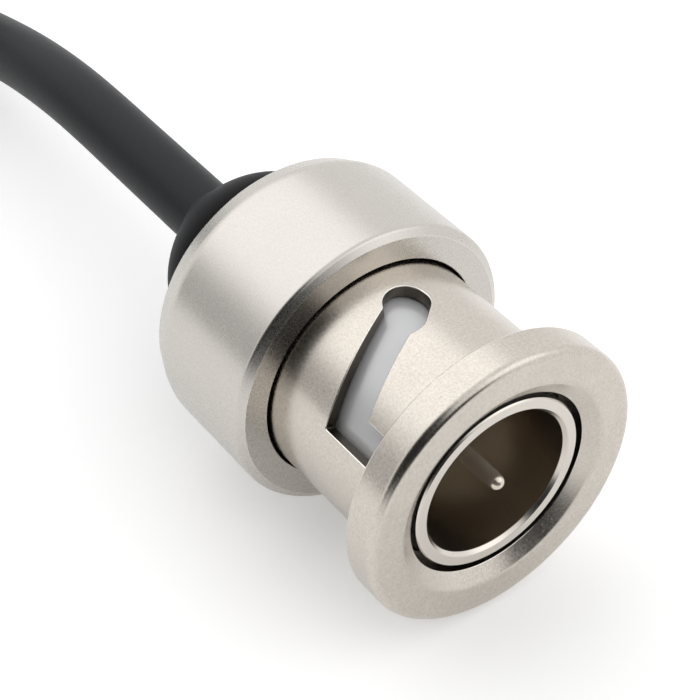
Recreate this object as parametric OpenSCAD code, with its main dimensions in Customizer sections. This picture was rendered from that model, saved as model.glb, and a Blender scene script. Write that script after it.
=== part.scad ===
// Bayonet coaxial cable plug on a 24 inch patch lead, in millimetres.
// Every plug is drawn on its own axis: +X leaves the mating face, the face is at x = 0 and
// the rest of the plug has negative x. Depths are measured back from the mating face.
// The near plug lies on its outer shell with its axis along +X. The far plug is the same
// plug, turned round, at the other end of the lead.

/* [Coupling nut] */
// Bore of the nut's front lip
nut_bore_d = 9.8; // [9.6:0.1:10]
// Wall of the nut at its front lip
nut_wall = 1; // [0.9:0.05:1.1]
// Relief of the nut's bore behind its lip
nut_relief = 0.4; // [0.3:0.05:0.45]
// Length of the nut's front lip
lip_l = 2; // [1.6:0.1:2.1]
// Outer diameter of the finger flange
flange_d = 14.9; // [14:0.1:15.2]
// Thickness of the finger flange
flange_t = 1.85; // [1.6:0.05:2.2]
// Bevel of the flange's front edge, along the axis
flange_bevel = 0.3; // [0.1:0.05:0.5]
// Bevel of the flange's front edge, across the axis
flange_bevel_r = 0.18; // [0.1:0.02:0.4]
// Fillet between the flange and the tube
root_fillet = 0.3; // [0.1:0.05:0.5]
// Mouth diameter of the nut's countersink
mouth_d = 11.4; // [11.2:0.1:12]
// Depth of the nut's countersink
mouth_depth = 0.5; // [0.3:0.05:0.7]
// Length of the nut behind its retaining ring
nut_tail = 0.5; // [0.4:0.1:0.8]

/* [Bayonet slots] */
// Diameter of the two lugs on the mating socket
lug_d = 1.6; // [1.5:0.05:1.7]
// Distance across the two lugs
lug_span = 11; // [10.8:0.05:11.1]
// Clearance round a lug in its slot, on each side
lug_clearance = 0.06; // [0.04:0.01:0.1]
// Angle of the first keyway's middle, from +Y towards +Z
keyway_angle = 150; // [140:1:160]
// Turn from the keyway's middle to the slot's round end
lock_turn = 60; // [56:0.5:70]
// Depth of the ramp's middle at the keyway's far side
ramp_start = 4.87; // [4.6:0.01:5]
// Depth of the ramp's middle where it meets the seat
ramp_end = 6.95; // [6.8:0.01:7.1]
// Height of the ramp, along the axis
ramp_h = 2.1; // [1.95:0.01:2.1]
// Power of the ramp's curve, where 1 is an even helix
ramp_power = 1.4; // [1:0.1:1.8]
// Turn from the seat of the locked lug to the slot's round end
seat_angle = 7.3; // [6:0.1:9]
// Depth of the seat's middle
seat_depth = 6.75; // [6.65:0.01:6.85]
// Depth of the round end's middle
end_depth = 7.42; // [7.3:0.01:7.5]
// Diameter of the seat and of the round end
detent_d = 2.18; // [2.14:0.02:2.3]

/* [Spring stack] */
// Forward travel of the nut against its spring washers
nut_travel = 0.6; // [0.4:0.1:0.7]
// Thickness of the two flat thrust washers
washer_t = 0.25; // [0.2:0.05:0.35]
// Sheet thickness of the wave washers
wave_t = 0.2; // [0.15:0.05:0.25]
// Spring left in each wave washer when the nut is fully forward
wave_spare = 0.05; // [0.03:0.01:0.1]
// Thickness of the retaining ring
ring_t = 0.5; // [0.4:0.05:0.6]
// Bite of the retaining ring into the nut's wall
ring_bite = 0.2; // [0.15:0.05:0.25]
// Opening of the split retaining ring, as an angle
ring_split = 30; // [20:5:45]

/* [Outer contact] */
// Gap between the nut's lip and the nose of the outer contact
contact_gap = 0.3; // [0.25:0.05:0.5]
// Wall of the outer contact's nose
contact_wall = 0.73; // [0.6:0.01:0.8]
// Depth of the outer contact's front edge
contact_recess = 0.47; // [0.3:0.01:0.6]
// Distance from the outer contact's floor, which the insulator passes through, to the shoulder
floor_setback = 1.4; // [1.2:0.1:1.6]
// Bevel on the outer contact's front edges
contact_bevel = 0.08; // [0.04:0.02:0.14]
// Outer diameter of the spigot that joins the outer contact to the body
spigot_d = 7.4; // [7.2:0.1:7.6]
// Length of the spigot inside the body
spigot_l = 0.8; // [0.6:0.1:0.9]
// Thickness of the rubber gasket
gasket_t = 0.6; // [0.5:0.1:0.8]

/* [Centre contact] */
// Diameter of the centre pin
pin_d = 0.8; // [0.7:0.05:1]
// Depth of the pin's round tip
pin_recess = 0.28; // [0.2:0.02:0.6]
// Diameter of the pin's shank inside the front insulator
pin_shank_d = 1.2; // [1.1:0.1:1.4]
// Diameter of the pin's collar
pin_collar_d = 2; // [1.8:0.1:2.1]
// Thickness of the pin's collar
pin_collar_t = 0.8; // [0.6:0.1:1]
// Diameter of the pin's crimp barrel
pin_tail_d = 1.5; // [1.3:0.1:1.6]
// Length of the pin's crimp barrel
pin_tail_l = 3; // [2.6:0.1:3.2]
// Depth of the crimp barrel's bore
pin_bore_l = 2.4; // [2:0.1:2.5]

/* [Insulators] */
// Diameter of both insulators
insulator_d = 5.8; // [5.6:0.1:6]
// Diameter of the front insulator's nose
nose_d = 4.8; // [4.4:0.1:5.2]
// Depth of the nose's face
nose_depth = 6.6; // [6.2:0.1:7]
// Length of the front insulator behind the outer contact's floor
front_insulator_l = 5; // [4.8:0.1:5.2]
// Length of the rear insulator
rear_insulator_l = 2; // [1.8:0.1:2.2]

/* [Body] */
// Depth of the body's front shoulder
shoulder_depth = 9.4; // [9.3:0.1:9.6]
// Thickness of the body's shoulder
shoulder_t = 1; // [0.9:0.1:1.2]
// Diameter of the body under the washers
neck_d = 8; // [7.8:0.1:8.2]
// Diameter of the seat under the shell and its lock nut
seat_d = 7; // [6.8:0.1:7.2]
// Outer diameter of the tail that slips under the braid
crimp_tail_d = 3; // [2.9:0.05:3.1]
// Length of the tail that slips under the braid
crimp_tail_l = 3.6; // [3.2:0.1:4]
// Length of the cone between the seat and the tail
body_cone_l = 0.7; // [0.5:0.1:1]

/* [Outer shell] */
// Outer diameter of the shell
shell_d = 15.4; // [15.3:0.1:16]
// Depth of the shell's front face
shell_depth = 9.87; // [9.4:0.01:10.2]
// Bevel of the shell's front edge
shell_bevel = 0.25; // [0.15:0.05:0.4]
// Bevel of the shell's rear edge, along the axis
shell_rear_bevel = 1.2; // [0.8:0.1:1.4]
// Bevel of the shell's rear edge, across the axis
shell_rear_bevel_r = 0.58; // [0.3:0.02:0.8]
// Thickness of the shell's inner web
web_t = 1.5; // [1.3:0.1:1.8]
// Inner diameter of the shell's rear chamber
chamber_d = 12.4; // [12:0.1:12.6]
// Thickness of the lip that holds the boot
lip_t = 0.55; // [0.5:0.05:0.7]
// Thickness of the lock nut
lock_nut_t = 1.4; // [1.2:0.1:1.6]
// Distance across the flats of the lock nut
lock_nut_af = 8.6; // [8.3:0.1:8.8]

/* [Cable boot] */
// Thickness of the boot's flange inside the shell
boot_flange_t = 0.6; // [0.5:0.05:0.8]
// Radius of the boot's domed end
boot_dome_r = 5.1; // [4.9:0.05:5.3]
// Straight length of the boot behind the shell
boot_straight = 1.45; // [1:0.05:1.8]
// Length of the small collar where the cable leaves
boot_collar_l = 0.35; // [0.2:0.05:0.5]
// Wall of that collar
boot_collar_wall = 0.3; // [0.2:0.05:0.4]

/* [Cable] */
// Outer diameter of the cable
cable_d = 3.6; // [3.4:0.1:3.8]
// Outer diameter of the braid in the cable
braid_d = 2.9; // [2.8:0.05:3]
// Outer diameter of the cable's dielectric
dielectric_d = 2.3; // [2.2:0.05:2.4]
// Diameter of the centre conductor
conductor_d = 0.6; // [0.5:0.05:0.7]
// Wall of the crimp ferrule
ferrule_wall = 0.45; // [0.35:0.05:0.55]
// Length of the crimp ferrule
ferrule_l = 4.4; // [4:0.1:4.8]

/* [Hank and tie] */
// Bend radius at the folds of the hank, to the middle of the cable
fold_r = 10.8; // [10.8:0.1:12]
// Straight length at the waist of the hank
waist_l = 5; // [4:0.5:8]
// Width of the tie
tie_w = 8; // [5:0.5:10]
// Thickness of the tie
tie_t = 0.8; // [0.6:0.1:1]

/* [Clearances] */
// Clearance between pieces that are pressed or crimped together
press_gap = 0.01; // [0.01:0.005:0.03]
// Running clearance of the nut on the body's shoulder
running_gap = 0.05; // [0.03:0.01:0.08]
// Free clearance of washers and rings
free_gap = 0.1; // [0.08:0.01:0.15]
// Gap between the nut and the shell
shell_gap = 0.15; // [0.12:0.01:0.25]

/* [Hidden] */
fine = 96;
overlap = 0.1;
nut_tube_d = nut_bore_d + 2 * nut_wall;
contact_d = nut_bore_d - 2 * contact_gap;
contact_bore_d = contact_d - 2 * contact_wall;
contact_floor = shoulder_depth - floor_setback;
relief_d = nut_bore_d + 2 * nut_relief;
barrel_d = relief_d - 2 * free_gap;
barrel_depth = lip_l + 2 * free_gap;
shoulder_d = relief_d - 2 * running_gap;
slot_w = lug_d + 2 * lug_clearance;
keyway_r = lug_span / 2 + lug_clearance;
keyway_far = lock_turn + asin(slot_w / nut_bore_d);

// depths of the stack behind the body's shoulder; both wave washers share the nut's travel
wave_h = wave_t + nut_travel / 2 + wave_spare;
front_washer_depth = shoulder_depth + shoulder_t;
front_wave_depth = front_washer_depth + washer_t;
rear_wave_depth = front_wave_depth + wave_h;
rear_washer_depth = rear_wave_depth + wave_h;
ring_depth = rear_washer_depth + washer_t;
nut_l = ring_depth + ring_t + nut_tail;
washer_bore_d = neck_d + 2 * free_gap;
washer_d = relief_d - 2 * free_gap;
ring_d = relief_d + 2 * ring_bite;
axial_play = 0.02;

// depths of the body, the shell and the boot
web_depth = nut_l + 2 * shell_gap;
lock_nut_depth = web_depth + web_t;
boot_depth = lock_nut_depth + lock_nut_t + free_gap;
lip_depth = boot_depth + boot_flange_t;
shell_end = lip_depth + lip_t;
shell_bore_d = nut_tube_d + 2 * shell_gap;
lip_d = 2 * (boot_dome_r + free_gap);
seat_end = lock_nut_depth + lock_nut_t + free_gap / 2;
crimp_tail_depth = seat_end + body_cone_l;
body_end = crimp_tail_depth + crimp_tail_l;
insulator_end = contact_floor + front_insulator_l;
rear_insulator_end = insulator_end + rear_insulator_l;
collar_end = insulator_end + pin_collar_t;
pin_end = collar_end + pin_tail_l;
dome_depth = shell_end + boot_straight;
boot_collar_r = cable_d / 2 + boot_collar_wall;
dome_end = dome_depth + sqrt(pow(boot_dome_r, 2) - pow(boot_collar_r, 2));
plug_l = dome_end + boot_collar_l;
crimp_depth = crimp_tail_depth + free_gap;
jacket_depth = body_end + free_gap;
wire_bore_d = dielectric_d + 2 * free_gap;

// places of the two plugs: the near one is centred on the origin
axis_z = shell_d / 2;
face_x = plug_l / 2;
far_face_x = -170;
exit_x = face_x - plug_l;
far_exit_x = far_face_x + plug_l;

// the hank is a waist between two round ends, and its laps lie one on the other
laps = 3;
hank_x = -90;
waist_swing = acos(1 - (fold_r - cable_d / 2) / (2 * fold_r));
fold_x = waist_l / 2 + 2 * fold_r * sin(waist_swing);
hank_r = fold_r + cable_d / 2;
hank_h = (laps + 1) * cable_d;
waist_w = 2 * cable_d;
tie_slack = 0.1;

// middle of the free cable from the near boot to the hank, then from the hank to the far boot
lead_route = [
    [exit_x, 0, axis_z], [-14, 0, axis_z], [-17, 0, axis_z], [-20, 0, axis_z], [-23, 0, axis_z],
    [-26, 0, 7.6], [-29, 0, 7.3], [-32, 0, 6.8], [-35, 0, 6.1], [-38, 0, 5.3],
    [-41, 0, 4.3], [-44, 0, 3.4], [-47, 0, 2.7], [-50, 0, 2.2], [-53, 0, 1.9],
    [-56, 0, 1.8], [-59, -0.1, 1.8]];
tail_route = [
    [-121, -1.3, 12.6], [-124, -1.1, 12.5], [-127, -0.8, 12.1], [-130, -0.5, 11.3], [-133, -0.3, 10.3],
    [-136, -0.1, 9.2], [-139, 0, 8.3], [-142, 0, 7.8], [-144, 0, axis_z], [far_exit_x, 0, axis_z]];

PLUG = [
    "coupling_nut", "retaining_ring", "rear_washer", "rear_wave_washer", "front_wave_washer",
    "front_washer", "plug_body", "outer_contact", "front_gasket", "front_insulator",
    "center_pin", "rear_insulator", "crimp_ferrule", "outer_shell", "lock_nut",
    "cable_boot", "braid_end", "dielectric_end", "conductor_end", "jacket_end"];

// ---- helpers ----

// turns a profile, drawn as [radius, x], about the plug's axis
module turned(angle = 360) {
    rotate([0, 90, 0]) rotate_extrude(angle = angle, $fn = fine) children();
}

// profile of a plain ring between two depths
module band(from, to, outer, inner = 0) {
    translate([inner / 2, -to]) square([(outer - inner) / 2, to - from]);
}

// one closed skin over rings of points, each ring with as many points as the next
module skin(rings, ring_closed = false) {
    m = len(rings[0]);
    n = len(rings);
    points = [for (ring = rings) each ring];
    spans = ring_closed ? n : n - 1;
    sides = [for (i = [0:spans - 1], j = [0:m - 1])
        [i * m + j, ((i + 1) % n) * m + j, ((i + 1) % n) * m + (j + 1) % m, i * m + (j + 1) % m]];
    first = [for (j = [0:m - 1]) j];
    last = [for (j = [m - 1:-1:0]) (n - 1) * m + j];
    polyhedron(points = points, faces = ring_closed ? sides : concat([first], sides, [last]));
}

// puts a plug where the near or the far one lies
module near_plug() {
    translate([face_x, 0, axis_z]) children();
}

module far_plug() {
    translate([far_face_x, 0, axis_z]) rotate([0, 0, 180]) children();
}

// ---- coupling nut and its bayonet slots ----

module nut_profile() {
    bore_r = nut_bore_d / 2;
    relief_r = relief_d / 2;
    tube_r = nut_tube_d / 2;
    rim_r = flange_d / 2;
    groove_r = ring_d / 2 + free_gap;
    groove_end = ring_depth + ring_t + axial_play;
    fillet = [for (a = [90:15:180])
        [tube_r + root_fillet * (1 + cos(a)), -flange_t - root_fillet * (1 - sin(a))]];
    polygon(concat(
        [[mouth_d / 2, 0], [rim_r - flange_bevel_r, 0], [rim_r, -flange_bevel], [rim_r, -flange_t]],
        fillet,
        [[tube_r, -nut_l], [relief_r, -nut_l], [relief_r, -groove_end], [groove_r, -groove_end],
            [groove_r, -ring_depth], [relief_r, -ring_depth], [relief_r, -lip_l], [bore_r, -lip_l],
            [bore_r, -mouth_depth]]));
}

// middle of the ramp at an angle from the slot's round end: steep at the seat, then flatter
function ramp_depth(angle) = ramp_start + (ramp_end - ramp_start)
    * pow(max(0, (keyway_far - angle) / (keyway_far - seat_angle)), ramp_power);

// curved part of one slot: from the seat to just past the keyway's far side
module ramp_cutter() {
    steps = 20;
    past = 3;
    inner = nut_bore_d / 2 - 2 * overlap;
    outer = nut_tube_d / 2 + 2 * overlap;
    turn = keyway_far + past - seat_angle;
    skin([for (i = [0:steps])
        let (a = seat_angle + turn * i / steps, d = ramp_depth(a), h = ramp_h / 2)
        [for (p = [[-d - h, inner], [-d + h, inner], [-d + h, outer], [-d - h, outer]])
            [p[0], p[1] * cos(a), p[1] * sin(a)]]]);
}

// one round hole of the detent, drilled beside the middle of the two
module detent_hole(depth, aside) {
    translate([-depth, 0, aside]) rotate([-90, 0, 0])
        cylinder(d = detent_d, h = nut_tube_d / 2 + overlap, $fn = fine);
}

// the seat and the slot's round end, milled along one line across the middle between them
module detent() {
    aside = nut_tube_d / 2 * sin(seat_angle / 2);
    travel = [end_depth - seat_depth, 2 * aside];
    rotate([seat_angle / 2, 0, 0]) {
        detent_hole(seat_depth, aside);
        detent_hole(end_depth, -aside);
        translate([-end_depth, 0, -aside]) rotate([0, -atan2(travel[1], travel[0]), 0])
            translate([0, 0, -detent_d / 2])
            cube([norm(travel), nut_tube_d / 2 + overlap, detent_d]);
    }
}

// one whole slot, with its round end on +Y; the keyway cuts through the flange's fillet,
// and its far side ends the ramp
module bayonet_slot() {
    rotate([lock_turn, 0, 0]) {
        translate([-ramp_start, 0, -slot_w / 2])
            cube([ramp_start + overlap, keyway_r, slot_w]);
        translate([-ramp_start, 0, -slot_w / 2])
            cube([ramp_start - flange_t - free_gap, nut_tube_d / 2 + root_fillet + overlap, slot_w]);
    }
    intersection() {
        ramp_cutter();
        rotate([lock_turn, 0, 0]) translate([-nut_l, 0, slot_w / 2 - nut_tube_d])
            cube([nut_l, nut_tube_d, nut_tube_d]);
    }
    detent();
}

module coupling_nut() {
    color("#cdc6be") difference() {
        turned() nut_profile();
        for (side = [0, 180])
            rotate([keyway_angle - lock_turn + side, 0, 0]) bayonet_slot();
    }
}

// ---- spring stack inside the nut ----

module retaining_ring() {
    color("#8d8f92") rotate([ring_split / 2, 0, 0]) turned(360 - ring_split)
        band(ring_depth + axial_play / 2, ring_depth + ring_t, ring_d, washer_bore_d);
}

module thrust_washer(depth) {
    color("#b9babb") turned() band(depth, depth + washer_t - axial_play, washer_d, washer_bore_d);
}

// three-lobed wave washer whose sheet swings between its two seats
module wave_washer(depth, phase) {
    steps = 36;
    lobes = 3;
    swing = wave_h - wave_t - axial_play;
    inner = washer_bore_d / 2;
    outer = washer_d / 2;
    color("#9aa0a6") skin([for (i = [0:steps - 1])
        let (a = 360 * i / steps, x = -depth - swing * (1 + cos(lobes * a + phase)) / 2)
        [for (p = [[x - wave_t, inner], [x - wave_t, outer], [x, outer], [x, inner]])
            [p[0], p[1] * cos(a), p[1] * sin(a)]]], true);
}

module front_washer() thrust_washer(front_washer_depth);
module rear_washer() thrust_washer(rear_washer_depth);
module front_wave_washer() wave_washer(front_wave_depth, 0);
module rear_wave_washer() wave_washer(rear_wave_depth, 180);

// ---- contacts, insulators and body ----

module outer_contact() {
    outer = contact_d / 2;
    barrel = barrel_d / 2;
    inner = contact_bore_d / 2;
    hole = insulator_d / 2 + press_gap;
    edge = contact_recess;
    barrel_end = shoulder_depth - gasket_t;
    color("#c9cdd0") turned() polygon([
        [inner + contact_bevel, -edge], [outer - contact_bevel, -edge],
        [outer, -edge - contact_bevel], [outer, -barrel_depth], [barrel, -barrel_depth],
        [barrel, -barrel_end], [spigot_d / 2, -barrel_end],
        [spigot_d / 2, -shoulder_depth - spigot_l], [hole, -shoulder_depth - spigot_l],
        [hole, -contact_floor], [inner, -contact_floor], [inner, -edge - contact_bevel]]);
}

module front_gasket() {
    color("#2f2f31") turned()
        band(shoulder_depth - gasket_t, shoulder_depth, barrel_d, spigot_d + 2 * press_gap);
}

module front_insulator() {
    color("#f2efe8") turned() difference() {
        union() {
            band(nose_depth, insulator_end, nose_d);
            band(contact_floor, insulator_end, insulator_d);
        }
        band(0, insulator_end + overlap, pin_shank_d + 2 * press_gap);
    }
}

module rear_insulator() {
    color("#ece8df") turned() difference() {
        band(insulator_end, rear_insulator_end, insulator_d);
        band(insulator_end - overlap, collar_end, pin_collar_d + 2 * press_gap);
        band(insulator_end, rear_insulator_end + overlap, pin_tail_d + 2 * press_gap);
    }
}

module center_pin() {
    color("#d8cfae") turned() difference() {
        union() {
            intersection() {
                translate([0, -pin_recess - pin_d / 2]) circle(d = pin_d, $fn = fine);
                square([pin_d, 2 * pin_end], center = true);
                translate([0, -pin_end]) square([pin_d, pin_end]);
            }
            band(pin_recess + pin_d / 2, nose_depth, pin_d);
            band(nose_depth, insulator_end, pin_shank_d);
            band(insulator_end, collar_end, pin_collar_d);
            band(collar_end, pin_end, pin_tail_d);
        }
        band(pin_end - pin_bore_l, pin_end + overlap, conductor_d + 2 * press_gap);
    }
}

module plug_body() {
    counterbore = [spigot_d / 2 + press_gap, shoulder_depth + spigot_l + press_gap];
    seat_bore = [insulator_d / 2 + press_gap, rear_insulator_end + press_gap];
    wire_bore = wire_bore_d / 2;
    color("#c3bdb4") turned() polygon([
        [counterbore[0], -shoulder_depth], [shoulder_d / 2, -shoulder_depth],
        [shoulder_d / 2, -front_washer_depth], [neck_d / 2, -front_washer_depth],
        [neck_d / 2, -web_depth], [seat_d / 2, -web_depth], [seat_d / 2, -seat_end],
        [crimp_tail_d / 2, -crimp_tail_depth], [crimp_tail_d / 2, -body_end],
        [wire_bore, -body_end], [wire_bore, -seat_bore[1]], [seat_bore[0], -seat_bore[1]],
        [seat_bore[0], -counterbore[1]], [counterbore[0], -counterbore[1]]]);
}

// ---- outer shell, lock nut and boot ----

module outer_shell() {
    outer = shell_d / 2;
    color("#cbc4bb") turned() difference() {
        polygon([
            [0, -shell_depth], [outer - shell_bevel, -shell_depth],
            [outer, -shell_depth - shell_bevel], [outer, -shell_end + shell_rear_bevel],
            [outer - shell_rear_bevel_r, -shell_end], [0, -shell_end]]);
        band(shell_depth - overlap, web_depth, shell_bore_d);
        band(shell_depth, shell_end + overlap, seat_d + 2 * press_gap);
        band(lock_nut_depth, lip_depth + axial_play, chamber_d);
        band(lip_depth, shell_end + overlap, lip_d);
    }
}

module lock_nut() {
    color("#a9a59e") translate([-lock_nut_depth - lock_nut_t, 0, 0]) rotate([0, 90, 0])
        difference() {
            cylinder(d = lock_nut_af / cos(30), h = lock_nut_t, $fn = 6);
            translate([0, 0, -overlap])
                cylinder(d = seat_d + 2 * press_gap, h = lock_nut_t + 2 * overlap, $fn = fine);
        }
}

module cable_boot() {
    color("#1d1d1f") turned() difference() {
        union() {
            band(boot_depth, lip_depth, chamber_d - 2 * free_gap);
            band(boot_depth, dome_depth, 2 * boot_dome_r);
            intersection() {
                translate([0, -dome_depth]) circle(r = boot_dome_r, $fn = fine);
                band(boot_depth, dome_end, 2 * boot_dome_r);
            }
            band(boot_depth, plug_l, 2 * boot_collar_r);
        }
        band(boot_depth - overlap, crimp_tail_depth, seat_d + 2 * free_gap);
        band(boot_depth, crimp_depth + ferrule_l + free_gap, cable_d + 2 * ferrule_wall + 2 * free_gap);
        band(boot_depth, plug_l + overlap, cable_d + 2 * press_gap);
    }
}

// ---- cable end inside the plug ----

module crimp_ferrule() {
    outer = cable_d + 2 * ferrule_wall;
    color("#bdb7ae") turned()
        band(crimp_depth, crimp_depth + ferrule_l, outer, cable_d + 2 * press_gap);
}

// the braid is flared over the body's tail, then runs on inside the jacket
module braid_end() {
    flare_r = crimp_tail_d / 2 + press_gap;
    core_r = dielectric_d / 2 + press_gap;
    step = free_gap / 2;
    color("#b98c5e") turned() polygon([
        [flare_r, -crimp_depth], [cable_d / 2, -crimp_depth], [cable_d / 2, -body_end - step],
        [braid_d / 2, -jacket_depth], [braid_d / 2, -plug_l], [core_r, -plug_l],
        [core_r, -body_end - step], [flare_r, -body_end - step]]);
}

module dielectric_end() {
    color("#f4f1ea") turned()
        band(pin_end + free_gap, plug_l, dielectric_d, conductor_d + 2 * press_gap);
}

module conductor_end() {
    color("#c98b4f") turned() band(pin_end - pin_bore_l + free_gap, plug_l, conductor_d);
}

module jacket_end() {
    color("#3b3d40") turned() band(jacket_depth + press_gap, plug_l, cable_d, braid_d + 2 * press_gap);
}

// ---- free cable, hank and tie ----

function unit(v) = v / norm(v);

// direction of a route at one of its points
function heading(route, i) = unit(route[min(i + 1, len(route) - 1)] - route[max(i - 1, 0)]);

// octagonal tube along every second point of a route, always with its last one
module cable_tube(route) {
    sides = 8;
    last = len(route) - 1;
    stops = [for (i = [0:2:last - 2]) i];
    color("#3b3d40") skin([for (i = concat(stops, [last]))
        let (ahead = heading(route, i), across = unit(cross([0, 0, 1], ahead)), up = cross(ahead, across))
        [for (j = [0:sides - 1])
            route[i] + cable_d / 2 * (across * sin(360 * j / sides) + up * cos(360 * j / sides))]]);
}

module cable_lead() cable_tube(lead_route);
module cable_tail() cable_tube(tail_route);

// outer shape of the laps: two round ends and the waist that the tie holds
module cable_hank() {
    bottom = tie_t + tie_slack;
    color("#3b3d40") translate([hank_x, 0, 0]) {
        for (end = [-1, 1])
            translate([end * fold_x, 0, 0]) cylinder(r = hank_r, h = hank_h, $fn = fine);
        translate([-fold_x, -waist_w / 2, bottom]) cube([2 * fold_x, waist_w, hank_h]);
    }
}

module hank_tie() {
    inner_w = waist_w + 2 * tie_slack;
    inner_h = hank_h + 2 * tie_slack;
    color("#1a1a1b") translate([hank_x - tie_w / 2, 0, 0]) difference() {
        translate([0, -inner_w / 2 - tie_t, 0]) cube([tie_w, inner_w + 2 * tie_t, inner_h + 2 * tie_t]);
        translate([-overlap, -inner_w / 2, tie_t]) cube([tie_w + 2 * overlap, inner_w, inner_h]);
    }
}

near_plug() coupling_nut();
near_plug() retaining_ring();
near_plug() rear_washer();
near_plug() rear_wave_washer();
near_plug() front_wave_washer();
near_plug() front_washer();
near_plug() plug_body();
near_plug() outer_contact();
near_plug() front_gasket();
near_plug() front_insulator();
near_plug() center_pin();
near_plug() rear_insulator();
near_plug() crimp_ferrule();
near_plug() outer_shell();
near_plug() lock_nut();
near_plug() cable_boot();
near_plug() braid_end();
near_plug() dielectric_end();
near_plug() conductor_end();
near_plug() jacket_end();
far_plug() coupling_nut();  // far_coupling_nut
far_plug() retaining_ring();  // far_retaining_ring
far_plug() rear_washer();  // far_rear_washer
far_plug() rear_wave_washer();  // far_rear_wave_washer
far_plug() front_wave_washer();  // far_front_wave_washer
far_plug() front_washer();  // far_front_washer
far_plug() plug_body();  // far_plug_body
far_plug() outer_contact();  // far_outer_contact
far_plug() front_gasket();  // far_front_gasket
far_plug() front_insulator();  // far_front_insulator
far_plug() center_pin();  // far_center_pin
far_plug() rear_insulator();  // far_rear_insulator
far_plug() crimp_ferrule();  // far_crimp_ferrule
far_plug() outer_shell();  // far_outer_shell
far_plug() lock_nut();  // far_lock_nut
far_plug() cable_boot();  // far_cable_boot
far_plug() braid_end();  // far_braid_end
far_plug() dielectric_end();  // far_dielectric_end
far_plug() conductor_end();  // far_conductor_end
far_plug() jacket_end();  // far_jacket_end
cable_lead();
cable_hank();
hank_tie();
cable_tail();
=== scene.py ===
"""Dresses a packed bayonet coaxial plug and its patch lead.

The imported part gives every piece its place. This script adds finely rounded surfaces for what
shows, a finish for every piece, the real patch cable with its strap, and a plain studio.
Lengths are in metres. Depths are measured back from a plug's mating face, along its axis, and
angles run round that axis from +Y towards +Z.
"""

import logging
import math
from collections.abc import Callable
from dataclasses import dataclass, replace
from enum import Enum

import bpy
import numpy as np
from mathutils import Matrix, Vector


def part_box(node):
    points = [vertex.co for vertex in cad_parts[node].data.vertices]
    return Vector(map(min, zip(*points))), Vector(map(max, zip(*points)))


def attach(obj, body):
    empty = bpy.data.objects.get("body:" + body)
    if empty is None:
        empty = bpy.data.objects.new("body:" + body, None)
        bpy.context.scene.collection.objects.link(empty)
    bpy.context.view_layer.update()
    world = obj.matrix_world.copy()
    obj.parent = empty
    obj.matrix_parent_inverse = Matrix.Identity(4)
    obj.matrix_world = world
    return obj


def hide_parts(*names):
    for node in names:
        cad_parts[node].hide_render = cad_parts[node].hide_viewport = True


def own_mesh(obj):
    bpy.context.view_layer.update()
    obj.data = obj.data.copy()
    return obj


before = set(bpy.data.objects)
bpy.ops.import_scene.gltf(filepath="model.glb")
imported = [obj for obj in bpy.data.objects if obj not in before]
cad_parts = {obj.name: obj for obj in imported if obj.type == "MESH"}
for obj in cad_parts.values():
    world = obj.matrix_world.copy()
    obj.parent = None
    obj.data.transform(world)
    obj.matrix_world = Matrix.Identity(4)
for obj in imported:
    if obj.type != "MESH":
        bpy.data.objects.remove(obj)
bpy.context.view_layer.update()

LOG = logging.getLogger("patch_lead")
MM = 0.001
WELD = 1e-8
FIXED_BODY = "plug_and_lead"
Array = np.ndarray
Socket = bpy.types.NodeSocket
Thing = bpy.types.Object
Color = Corner = tuple[float, float, float]


# ---- surfaces ----


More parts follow.
